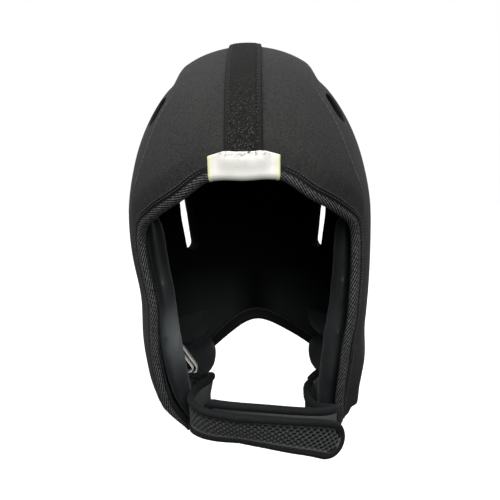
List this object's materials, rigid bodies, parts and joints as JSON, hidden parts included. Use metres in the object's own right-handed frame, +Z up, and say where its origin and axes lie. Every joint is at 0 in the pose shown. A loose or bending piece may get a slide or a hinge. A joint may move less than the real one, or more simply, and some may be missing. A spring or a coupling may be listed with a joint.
{
  "type": "soft shell football helmet",
  "caption": "Soft padded helmet for flag and touch football, with an open face, bound edges, crown strip, side vents, ear slots, inner pads and an overlapping padded chin strap.",
  "frame": {"origin": "inside of the crown at the middle seam, where the top of the head meets the helmet", "axes": "+Z up through the crown, -Y out of the face opening, +X towards the right of someone who looks at the face opening"},
  "size_m": [0.188, 0.2233, 0.3053],
  "materials": {
    "shell_jersey": "matte stretch jersey over foam",
    "pad_jersey": "smooth stretch jersey over foam",
    "binding_twill": "ribbed twill tape",
    "crown_tape": "woven loop tape",
    "strap_mesh": "open spacer mesh",
    "strap_jersey": "rolled stretch jersey",
    "label_satin": "white coated label tape"
  },
  "bodies": {
    "root": {"shell_right": "shell_jersey", "shell_left": "shell_jersey", "edge_binding": "binding_twill", "crown_strip": "crown_tape", "brow_label": "label_satin", "cheek_pad_right": "pad_jersey", "cheek_pad_left": "pad_jersey", "neck_pad_upper_right": "pad_jersey", "neck_pad_upper_left": "pad_jersey", "neck_pad_lower_right": "pad_jersey", "neck_pad_lower_left": "pad_jersey", "chin_strap_outer_pad": "strap_mesh", "chin_strap_outer_bead": "strap_jersey", "chin_strap_inner_pad": "strap_mesh", "chin_strap_inner_bead": "strap_jersey", "inner_tag": "label_satin"}
  },
  "joints": []
}
